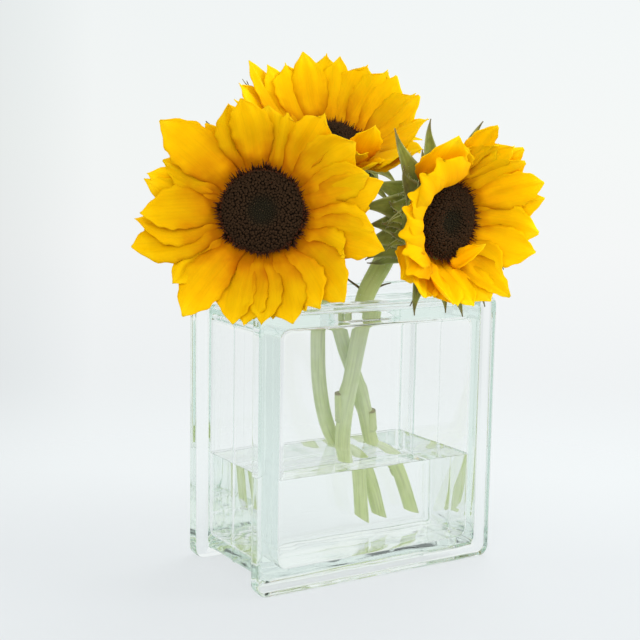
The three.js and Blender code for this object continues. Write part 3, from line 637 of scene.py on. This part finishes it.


# Calyx, bracts and stem: downy green parts, olive on the calyx; the stem is pale in the vase, partly its own
# colour, partly painted light for what the glass holds back.
bractLook = {
    "root": 27, "drop": -9, "breadth": 24, "thick": 0.55, "columns": 8, "rows": 22, "from": -0.04,
    "widest": 0.14, "rootShare": 0.85, "fullness": 0.42, "tip": 0.025, "roll": 0, "tooth": 0, "round": 0,
    "crinkle": 0, "phase": 0, "shown": 1, "tone": (0.84, 1.08), "twist": (-10, 10), "hook": (-4, 4),
    "skew": (-0.14, 0.14), "cup": 0.2, "cupPower": 1.5, "cupLevel": 0.5, "crease": 0.7, "creaseWidth": 0.2,
    "curl": (-1, 0.8), "curlFrom": 0.45, "curlRise": 21,
    "innerShift": 13, "innerReach": 0.74, "innerBreadth": 0.8, "innerLift": 5, "innerRise": 1.6,
    "innerTone": (0.8, 1.02), "smallRise": 1, "smallTone": 1.35,
}
calyxLook = {
    "spokes": 40, "tone": 0.95,
    "section": [
        (0, -3.4), (31, -3.4), (32.4, -5.5), (31, -10), (26, -15.5), (17, -21), (9.5, -26), (6.6, -31),
        (0, -33)],
}
stemLook = {
    "radius": 5.25, "sides": 20, "step": 2.0, "neck": (-29, -42),
    "rib": 0.12, "ribs": 7, "bulge": 2.1, "bulgeLength": 6, "cutSlant": 42, "cutRise": 4.5,
    "stubSunk": 0.75, "stubLean": 10, "stubSteps": 6, "stubSides": 12, "stubTaper": (1.15, -0.25),
    "wispSides": 6, "wispTip": 0.12, "wispTone": 0.6, "stubTone": 0.95, "phase": (0, 6),
    "fresh": 0.1, "dry": 0.95, "cutDry": 0.98, "downyShare": 0.4,
}


def bractRelief(blade, across, along, wide):
    look = bractLook
    rise = look["cup"] * wide * (abs(across) ** look["cupPower"] - look["cupLevel"])
    rise -= look["crease"] * exp(-(across / look["creaseWidth"]) ** 2) * (1 - along)
    return rise + look["curlRise"] * blade["curl"] * max(along - look["curlFrom"], 0) ** 2


def greenMaterial(name, shades, old, dry, mapped):
    material, add = startMaterial(name)  # soft down that takes the shine off
    grain = add("Attribute", attribute_name="grain").outputs["Vector"]
    share = readShare(add)
    stretched = add("Mapping", {"Vector": grain, "Scale": mapped})
    streaks = add("TexNoise", {"Vector": stretched, "Scale": 1, "Detail": 4})
    patches = add("TexNoise", {"Vector": grain, "Scale": 0.12, "Detail": 3})
    # across a blade from its rib to its edge, or down a stem
    reached = add("Math", [share["Y"]], operation="ABSOLUTE")
    young = add("ValToRGB", [reached], stops=shades)
    aged = add("MapRange", [patches, 0.38, 0.66, 0.0, 0.6])
    mixed = add("MixRGB", [aged, young, linear(old)], blend_type="MULTIPLY")
    lines = add("ValToRGB", [streaks], stops=[(0.32, 0.62), (0.56, 1.0)])
    lined = add("MixRGB", [0.5, mixed, lines], blend_type="MULTIPLY")
    toned = add("HueSaturation", {"Color": lined, "Value": share["Z"]})
    nearTip = add("MapRange", [share["X"], 0.72, 1.0, 0.0, 0.8])
    tipped = add("MixRGB", [nearTip, toned, linear(dry)])
    relief = add("Bump", {"Height": streaks, "Strength": 0.3, "Distance": 0.0004})
    skin = add("BsdfPrincipled", {
        "Base Color": tipped, "Roughness": 0.62, "Specular IOR Level": 0.25,
        "Sheen Weight": 0.1, "Sheen Roughness": 0.5, "Normal": relief})
    add("OutputMaterial", {"Surface": skin})
    return material


bractSkin = greenMaterial("sunflower bract", [
    (0.0, "#848C3C"), (0.7, "#7C8738"), (1.0, "#A9B070")], "#8E8A62", "#5E4A33", (0.9, 0.06, 1))
# the stem pales toward its foot: partly its own colour, partly painted light standing in for the light the
# glass and water hold back
stemSkin = greenMaterial("sunflower stem", [
    (0.1, "#949E44"), (0.34, "#C0CB86"), (0.46, "#CBD6AE"), (0.66, "#D0DCA9"), (0.78, "#D6E0A0")],
    "#F0F6DC", "#8A7A50", (0.8, 0.8, 0.03))
pithSkin = greenMaterial("cut stem pith", [(0.0, "#F0F2CC")], "#DDE0BE", "#E2E4C2", (0.8, 0.8, 0.8))


def growBracts(place, bloom, seed, downy):
    pick = drawing(seed, bractLook)[1]
    look = bractLook
    bm, grain, share = newMesh("grain", "share")
    frameOfBloom = bloomFrame(bloom)
    rows = []
    for angle, reach, lift, bend, sweep in bloom["bracts"]:
        rows.append((angle, reach, look["breadth"], lift, bend, sweep, 0, pick("tone")))
        rows.append((
            angle + look["innerShift"], reach * look["innerReach"], look["breadth"] * look["innerBreadth"],
            lift + look["innerLift"], bend, sweep, look["innerRise"], pick("innerTone")))
    for row in bloom["smallBracts"]:
        rows.append((*row, look["smallRise"], look["smallTone"]))
    for number, (angle, reach, breadth, lift, bend, sweep, rise, tone) in enumerate(rows):
        downy += growBlade(bm, grain, share, {
            **look, "angle": angle, "reach": reach, "breadth": breadth, "lift": lift, "bend": bend,
            "sweep": sweep, "drop": look["drop"] + rise, "tone": tone, "seed": seed + number,
            **{name: pick(name) for name in ("twist", "hook", "skew", "curl")},
        }, bractRelief, frameOfBloom)
    for points, radius in bloom["wisps"]:
        growWisp(bm, points, radius)
    makeGreen(place, "Bracts", bm, [bractSkin], look["thick"])


def growCalyx(place, bloom):
    bm, grain, share = newMesh("grain", "share")
    spinProfile(bm, calyxLook["section"], calyxLook["spokes"])
    for vert in bm.verts:
        vert[grain] = vert.co
        vert[share] = (stemLook["fresh"], 0, calyxLook["tone"])
    bm.transform(bloomFrame(bloom))

    def rounded(piece):
        soft = piece.modifiers.new("soft", "SUBSURF")
        soft.levels = 1
        soft.render_levels = 1

    makeGreen(place, "Calyx", bm, [bractSkin], 0, rounded)


# A smooth curve through some points, sampled finely: centripetal spacing, ends carried on straight.
def smoothRoute(points):
    points = [2 * points[0] - points[1]] + points + [2 * points[-1] - points[-2]]
    route = []
    for p0, p1, p2, p3 in zip(points, points[1:], points[2:], points[3:]):
        d0, d1, d2 = (sqrt((b - a).length) for a, b in ((p0, p1), (p1, p2), (p2, p3)))
        t1 = ((p1 - p0) / d0 - (p2 - p0) / (d0 + d1) + (p2 - p1) / d1) * d1
        t2 = ((p2 - p1) / d1 - (p3 - p1) / (d1 + d2) + (p3 - p2) / d2) * d1
        for step in range(40):
            t = step / 40
            route.append(
                p1 + t * t1 + t * t * (3 * (p2 - p1) - 2 * t1 - t2) + t ** 3 * (2 * (p1 - p2) + t1 + t2))
    return route + [points[-2]]


# Points along a route at even distances, each with its direction, and the route's length.
def evenly(points, step):
    route = smoothRoute([Vector(point) for point in points])
    lengths = [0]
    for a, b in zip(route, route[1:]):
        lengths.append(lengths[-1] + (b - a).length)
    count = round(lengths[-1] / step)
    places, at = [], 0
    for number in range(count + 1):
        target = lengths[-1] * number / count
        while at < len(route) - 2 and lengths[at + 1] < target:
            at += 1
        span = route[at + 1] - route[at]
        places.append((route[at] + span * ((target - lengths[at]) / span.length), span.normalized()))
    return places, lengths[-1]


# Rings of points round a route, without twist. radiusAt takes the share of the route, the turn and the
# way out.
def tubeRings(places, length, sides, radiusAt):
    rings = []
    side = places[0][1].orthogonal().normalized()
    for number, (middle, along) in enumerate(places):
        side = (side - along * side.dot(along)).normalized()
        other = along.cross(side)
        done = number / (len(places) - 1)
        ring = []
        for step in range(sides):
            turn = 2 * pi * step / sides
            out = side * cos(turn) + other * sin(turn)
            grainAt = (cos(turn) * stemLook["radius"], sin(turn) * stemLook["radius"], done * length)
            ring.append((middle + out * radiusAt(done, turn, out), grainAt))
        rings.append(ring)
    return rings


# A dry thread of a leaf, pointed at its first end.
def growWisp(bm, points, radius):
    look = stemLook
    part, grain, share = newMesh("grain", "share")
    places, length = evenly(points, 1)
    loftRings(part, tubeRings(
        places, length, look["wispSides"], lambda done, turn, out: radius * (look["wispTip"] + done)))
    for vert in part.verts:
        vert[share] = (look["dry"], 0, look["wispTone"])
    joinInto(bm, part)


# What is left of a leaf stalk: a short tapered peg that stands off the stem, with a dry cut top.
def growStub(bm, places, share, compass, length, radius):
    look = stemLook
    middle, along = places[round(share * (len(places) - 1))]
    toward = heading(radians(compass))
    toward = (toward - along * toward.dot(along)).normalized()
    foot = middle + toward * (look["radius"] - radius * look["stubSunk"])
    rise = (toward * tan(radians(look["stubLean"])) - along).normalized()
    part, grain, mark = newMesh("grain", "share")
    steps = look["stubSteps"]
    route = [(foot + rise * length * step / steps, rise) for step in range(steps + 1)]
    wide, taper = look["stubTaper"]
    loftRings(part, tubeRings(
        route, length, look["stubSides"], lambda done, turn, out: radius * (wide + taper * done)))
    top = foot + rise * length
    for vert in part.verts:
        onCut = (vert.co - top).dot(rise) > -0.1
        vert[mark] = (look["cutDry" if onCut else "fresh"], share, look["stubTone"])
    joinInto(bm, part)


def growStem(place, bloom, seed, downy):
    look = stemLook
    pick = drawing(seed, look)[1]
    phases = [pick("phase") for rib in range(2)]
    neck = [bloomFrame(bloom) @ Vector((0, 0, depth)) for depth in look["neck"]]
    places, length = evenly(neck + bloom["stem"], look["step"])
    flare, fade = bloom["neck"]

    def radiusAt(done, turn, out):
        radius = look["radius"] + flare * exp(-done * length / fade)
        radius += look["rib"] * sin(look["ribs"] * turn + phases[0] + 2 * done)
        radius += look["rib"] * sin(3 * turn + phases[1] + 5 * done)
        for share, compass in bloom["nodes"]:
            near = exp(-((done - share) * length / look["bulgeLength"]) ** 2)
            radius += look["bulge"] * near * max(out.dot(heading(radians(compass))), 0) ** 2
        return radius

    rings = tubeRings(places, length, look["sides"], radiusAt)
    for (middle, along), ring in list(zip(places, rings))[:round(len(rings) * look["downyShare"])]:
        downy += [(point, point - middle) for point, grainAt in ring]
    bm, grain, share = newMesh("grain", "share")
    loftRings(bm, rings)
    for vert in bm.verts:
        vert[share] = (look["fresh"], vert[grain].z / length, 1)
    foot, along = places[-1]
    slant = Quaternion((0, 1, 0), radians(look["cutSlant"])) @ along
    for face in cutOff(bm, foot - along * look["cutRise"], slant):
        face.material_index = 1
    for stub in bloom["stubs"]:
        growStub(bm, places, *stub)
    makeGreen(place, "Stem", bm, [stemSkin, pithSkin])


# Down: short pale hairs along the edges of the bracts and round the upper stem.
hairLook = {
    "count": 1500, "length": (0.7, 1.9), "cone": (3, 0.08, 0.016), "sunk": 0.1, "scatter": 0.5, "batch": 60,
}


def hairMaterial():
    material, add = startMaterial("plant down")  # silvery, soft, lets light through
    place = add("TexCoord").outputs["Object"]
    patches = add("TexNoise", {"Vector": place, "Scale": 90})
    shade = add("ValToRGB", [patches], stops=[(0.35, "#C9D2AE"), (0.65, "#E8EBD8")])
    skin = add("BsdfPrincipled", {"Base Color": shade, "Roughness": 0.5})
    glow = add("BsdfTranslucent", {"Color": shade})
    both = add("MixShader", [0.4, skin, glow])
    add("OutputMaterial", {"Surface": both})
    return material


hairSkin = hairMaterial()


def growHairs(place, downy, seed):
    stream = random.Random(seed)
    look = hairLook
    bm = bmesh.new()
    for start in range(0, look["count"], look["batch"]):
        part = bmesh.new()
        for number in range(look["batch"]):
            point, out = stream.choice(downy)
            lean = out.normalized() + look["scatter"] * Vector([stream.uniform(-1, 1) for axis in range(3)])
            lean.normalize()
            length = stream.uniform(*look["length"])
            middle = point + lean * (length / 2 - look["sunk"])
            addCone(part, Matrix(), middle, lean, look["cone"], length)
        joinInto(bm, part)
    makeGreen(place, "Hairs", bm, [hairSkin])


for seed, (place, bloom) in enumerate(blooms.items()):
    downy = []
    growBracts(place, bloom, 100 * seed + 47, downy)
    growCalyx(place, bloom)
    growStem(place, bloom, 100 * seed + 61, downy)
    growHairs(place, downy, 100 * seed + 83)
print("green parts grown")


# The vase: thick cast glass in two fused halves, fire polished, faintly green through its length.
vaseLook = {
    "size": 190, "depth": 104, "faceGlass": 8, "sideInset": 17.5, "endInset": 15, "corner": 8,
    "tightest": 3, "cavityCorner": 7, "steps": 8, "seamInset": 7.8, "edgeRound": 3,
    "rim": [(3, 0), (10.4, 0), (12.5, 1.2), (13.7, 5.1), (15.7, 7.6), (19.5, 8.5), (50.5, 8.5)],
    "hollow": [(0, 3), (0.35, 1.7), (1, 0.9), (2, 0.25), (3.2, 0)],
    "mouth": (58, 42), "mouthCorner": 14, "mouthOverrun": 10,
    "lipFrom": 170, "lipAngle": 0.9, "lipRound": 1.6,
    "waves": 26, "calm": 0.08, "relief": 0.8, "waveDepth": 0.004, "roughness": 0.02, "index": 1.5,
    "tint": (0.7, 0.86, 0.78, 1), "density": 6,
}
waterLook = {
    "level": 75.5, "overlap": 0.05, "meniscus": 0.8, "meniscusWidth": 1.8, "meniscusDrop": 2, "insets": 3,
    "waves": 30, "calm": 1, "relief": 0.05, "waveDepth": 0.001, "roughness": 0, "index": 1.333,
    "tint": (0.8, 0.93, 0.84, 1), "density": 1.2,
}


# A rectangle with round corners, as points.
def outlinePoints(halfWide, low, high, corner):
    points = []
    middles = [(halfWide - corner, high - corner, 0), (corner - halfWide, high - corner, 90),
               (corner - halfWide, low + corner, 180), (halfWide - corner, low + corner, 270)]
    steps = vaseLook["steps"]
    for x, z, start in middles:
        for step in range(steps + 1):
            turn = radians(start + 90 * step / steps)
            points.append((x + corner * cos(turn), z + corner * sin(turn)))
    return points


def uprightRing(y, halfWide, low, high, corner):
    return [Vector((x, y, z)) for x, z in outlinePoints(halfWide, low, high, corner)]


# Cuts the corners off a line of points twice, which rounds it and leaves its flats flat.
def cornersCut(points):
    for again in range(2):
        cut = [points[0]]
        for (ax, ay), (bx, by) in zip(points, points[1:]):
            cut += [(ax * near + bx * (1 - near), ay * near + by * (1 - near)) for near in (0.75, 0.25)]
        points = cut + [points[-1]]
    return points


def mirrored(front, middle=()):
    return front + list(middle) + [(-y, inset) for y, inset in reversed(front)]


def blockOutside():
    look = vaseLook
    edge, size, half = look["edgeRound"], look["size"], look["depth"] / 2
    turns = [radians(turn) for turn in range(0, 90, 15)]
    arc = [(edge - edge * cos(turn) - half, edge - edge * sin(turn)) for turn in turns]
    plates = cornersCut(mirrored([(y - half, inset) for y, inset in look["rim"]], [(0, look["seamInset"])]))
    rings = []
    for y, inset in mirrored(arc, plates):
        corner = max(look["corner"] - inset, look["tightest"])
        rings.append(uprightRing(y, size / 2 - inset, inset, size - inset, corner))
    bm = bmesh.new()
    loftRings(bm, rings)
    return bm


def blockHollow(gap):
    look = vaseLook
    half = look["depth"] / 2 - look["faceGlass"] - gap
    rings = []
    for y, inset in mirrored([(depth - half, inset) for depth, inset in look["hollow"]]):
        wide = look["size"] / 2 - look["sideInset"] - gap - inset
        low = look["endInset"] + gap + inset
        rings.append(uprightRing(y, wide, low, look["size"] - look["endInset"] - inset, look["cavityCorner"]))
    bm = bmesh.new()
    loftRings(bm, rings)
    return bm


def mouthPlug():
    look = vaseLook
    wide, deep = look["mouth"]
    outline = outlinePoints(wide / 2, -deep / 2, deep / 2, look["mouthCorner"])
    low, high = look["size"] - look["endInset"] - look["mouthOverrun"], look["size"] + look["mouthOverrun"]
    bm = bmesh.new()
    loftRings(bm, [[Vector((x, y, z)) for x, y in outline] for z in (low, high)])
    return bm


# Cast soda-lime glass is clear, polished and green where it is deep. Water is clear, with a faint green.
def clearMaterial(name, look):
    material, add = startMaterial(name)
    place = add("TexCoord").outputs["Object"]
    parts = add("SeparateXYZ", [place])
    waves = add("TexNoise", {"Vector": place, "Scale": look["waves"], "Detail": 1})
    # the cast base is wavier than the faces, within 30 mm of the floor
    nearBase = add("MapRange", [parts.outputs["Z"], 0.0, 0.03, 1.0, look["calm"]])
    height = add("Math", [waves, nearBase], operation="MULTIPLY")
    relief = add("Bump", {"Height": height, "Strength": look["relief"], "Distance": look["waveDepth"]})
    skin = add("BsdfPrincipled", {
        "Base Color": (1, 1, 1, 1), "Roughness": look["roughness"], "IOR": look["index"],
        "Transmission Weight": 1, "Normal": relief})
    tint = add("VolumeAbsorption", {"Color": look["tint"], "Density": look["density"]})
    add("OutputMaterial", {"Surface": skin, "Volume": tint})
    return material


# Works the object's modifiers into its mesh.
def settle(thing):
    bpy.context.view_layer.update()
    ready = bpy.data.meshes.new_from_object(thing.evaluated_get(bpy.context.evaluated_depsgraph_get()))
    thing.modifiers.clear()
    thing.data = ready


def flatFacesFlat(piece):
    even = piece.modifiers.new("flat faces", "WEIGHTED_NORMAL")
    even.keep_sharp = True
    even.weight = 80


def makeVase():
    look = vaseLook
    block = addObject("block", blockOutside())
    for name, bm in (("hollow", blockHollow(0)), ("mouth", mouthPlug())):
        cutter = addObject(name, bm)
        cut = block.modifiers.new(name, "BOOLEAN")
        cut.operation = "DIFFERENCE"
        cut.solver = "EXACT"
        cut.object = cutter
        settle(block)
        bpy.data.objects.remove(cutter)
    bm = bmesh.new()
    bm.from_mesh(block.data)
    bpy.data.objects.remove(block)
    bmesh.ops.remove_doubles(bm, verts=bm.verts, dist=0.001)
    wide, deep = look["mouth"]

    def onMouth(point):
        return point.z > look["lipFrom"] and abs(point.x) < wide / 2 + 0.01 and abs(point.y) < deep / 2 + 0.01

    def onLip(edge):
        one, two = (vert.co for vert in edge.verts)
        level = abs(one.z - two.z) < 1
        return onMouth(one) and onMouth(two) and level and edge.calc_face_angle(0) > look["lipAngle"]

    lips = [edge for edge in bm.edges if onLip(edge)]
    bmesh.ops.bevel(
        bm, geom=lips, offset=look["lipRound"], segments=4, profile=0.5, affect="EDGES", material=-1)
    glass = clearMaterial("cast soda-lime glass", look)
    makePiece("blockVase", bm, [glass], "glass_vase", 0, flatFacesFlat)


def makeWater():
    look = waterLook
    bm = blockHollow(-look["overlap"])
    top = cutOff(bm, (0, 0, look["level"]), (0, 0, 1))
    for again in range(look["insets"]):
        thickness = look["meniscusWidth"] / look["insets"]
        bmesh.ops.inset_region(bm, faces=top, thickness=thickness, use_even_offset=True)
    # the water climbs the glass a little: the nearer the wall, the higher
    inner = set(vert for face in top for vert in face.verts)
    for vert in bm.verts:
        if vert.co.z > look["level"] - 0.01 and vert not in inner:
            wall = min(
                vaseLook["size"] / 2 - vaseLook["sideInset"] - abs(vert.co.x),
                vaseLook["depth"] / 2 - vaseLook["faceGlass"] - abs(vert.co.y))
            fall = max(wall, 0) / look["meniscusWidth"] * look["meniscusDrop"]
            vert.co.z += look["meniscus"] * exp(-fall)
    makePiece("vaseWater", bm, [clearMaterial("water", look)], "water", 0, flatFacesFlat)


makeVase()
makeWater()
print("vase and water made")


# Studio: a pale floor that fades into the backdrop, soft light from above and from both sides. A light is
# its place, what it points at, its width and its power.
studioLook = {
    "floorRadius": 900, "fade": (200, 850), "floor": "#D2D6D8", "floorGlow": 0.82,
    "camera": (-472.52, -734.48, 292.92), "yaw": 31.65, "pitch": 7.99, "roll": 0.94, "lens": 70.81,
    "sensor": 36, "clipEnd": 20, "bounces": 64, "clearBounces": 16,
    "lights": {
        "key": ((500, 300, 1000), (0, 0, 200), 700, 6.5),
        "fill": ((-900, -900, 700), (0, 0, 200), 900, 9),
        "side": ((900, -700, 500), (30, 0, 250), 700, 10),
    },
}
yaw, pitch, roll = (radians(studioLook[name]) for name in ("yaw", "pitch", "roll"))
level = (cos(yaw), -sin(yaw), 0)  # the picture's own right, along the floor


def floorMaterial():
    look = studioLook
    material, add = startMaterial("studio floor paper")  # matt and plain
    place = add("TexCoord").outputs["Object"]
    centred = add("Mapping", {"Vector": place, "Location": (-vaseMiddle.x, -vaseMiddle.y, 0)})
    distance = add("VectorMath", [centred], operation="LENGTH")
    fade = add(
        "MapRange", [distance.outputs["Value"], *(end * millimetre for end in look["fade"])],
        interpolation_type="SMOOTHSTEP")
    paper = add("BsdfDiffuse", {"Color": linear(look["floor"])})
    # the sweep lightens toward the back
    toward = add("VectorMath", [centred, (sin(yaw), cos(yaw), 0)], operation="DOT_PRODUCT")
    depth = add("MapRange", [toward.outputs["Value"], -0.25, 0.35])
    sweep = add("ValToRGB", [depth], stops=[
        (0.0, "#E4E8EA"), (0.4, "#E4E8EA"), (0.8, "#EDF1F2"), (1.0, "#EEF2F3")])
    glow = add("Emission", {"Color": sweep, "Strength": 1})
    lit = add("MixShader", [look["floorGlow"], paper, glow])
    both = add("MixShader", [fade, lit, add("BsdfTransparent")])
    add("OutputMaterial", {"Surface": both})
    return material


def makeFloor():
    bm = bmesh.new()
    bmesh.ops.create_circle(bm, cap_ends=True, segments=64, radius=studioLook["floorRadius"])
    floor = addObject("floor", bm, fromMm)
    floor.data.materials.append(floorMaterial())


def makeWorld():
    world = bpy.data.worlds.new("pale studio")
    scene.world = world
    world.use_nodes = True
    world.node_tree.nodes.clear()
    add = partial(addNode, world.node_tree)
    place = add("TexCoord").outputs["Generated"]
    parts = add("SeparateXYZ", [place])
    height = add("MapRange", [parts.outputs["Z"], -1.0, 1.0])
    shades = add("ValToRGB", [height], stops=[
        (0.0, "#E6EAEC"), (0.38, "#EEF2F3"), (0.42, "#F1F4F5"), (0.46, "#F5F7F7"), (0.5, "#F5F8F7"),
        (0.56, "#F3F7F7"), (1.0, "#F8FAFA")])
    # a little darker toward the left of the picture
    across = add("VectorMath", [place, level], operation="DOT_PRODUCT")
    along = add("MapRange", [across.outputs["Value"], -0.26, 0.26])
    falloff = add("ValToRGB", [along], stops=[
        (0.0, "#EFF0F0"), (0.07, "#F4F5F5"), (0.16, "#FCFCFC"), (1.0, "#FFFFFF")])
    shaded = add("MixRGB", [1, shades, falloff], blend_type="MULTIPLY")
    back = add("Background", {"Color": shaded, "Strength": 1})
    add("OutputWorld", {"Surface": back})


def makeLight(name, place, target, size, power):
    light = bpy.data.lights.new(name, "AREA")
    light.shape = "DISK"
    light.size = size * millimetre
    light.energy = power
    lamp = bpy.data.objects.new(name, light)
    lamp.visible_glossy = lamp.visible_transmission = False  # no lamp shows in the glass
    scene.collection.objects.link(lamp)
    aim = (Vector(target) - Vector(place)).to_track_quat("-Z", "Y").to_matrix().to_4x4()
    lamp.matrix_world = Matrix.Translation(fromMm @ Vector(place)) @ aim


def makeCamera():
    look = studioLook
    forward = Vector((sin(yaw) * cos(pitch), cos(yaw) * cos(pitch), -sin(pitch)))
    upright = Vector(level).cross(forward)
    right = Vector(level) * cos(roll) + upright * sin(roll)
    up = upright * cos(roll) - Vector(level) * sin(roll)
    data = bpy.data.cameras.new("camera")
    data.lens = look["lens"]
    data.sensor_width = look["sensor"]
    data.clip_end = look["clipEnd"]
    eye = bpy.data.objects.new("camera", data)
    scene.collection.objects.link(eye)
    whole = Matrix((right, up, -forward)).transposed().to_4x4()
    whole.translation = fromMm @ Vector(look["camera"])
    eye.matrix_world = whole
    scene.camera = eye


makeFloor()
makeWorld()
for name, settings in studioLook["lights"].items():
    makeLight(name, *settings)
makeCamera()
scene.view_settings.view_transform = "Standard"
# many bounces, so that light caught inside the thick glass finds its way out
scene.cycles.max_bounces = studioLook["bounces"]
scene.cycles.transmission_bounces = studioLook["bounces"]
scene.cycles.glossy_bounces = studioLook["bounces"]
scene.cycles.transparent_max_bounces = studioLook["clearBounces"]
scene.cycles.blur_glossy = 0  # the stems get their full light through the glass
print("studio set")
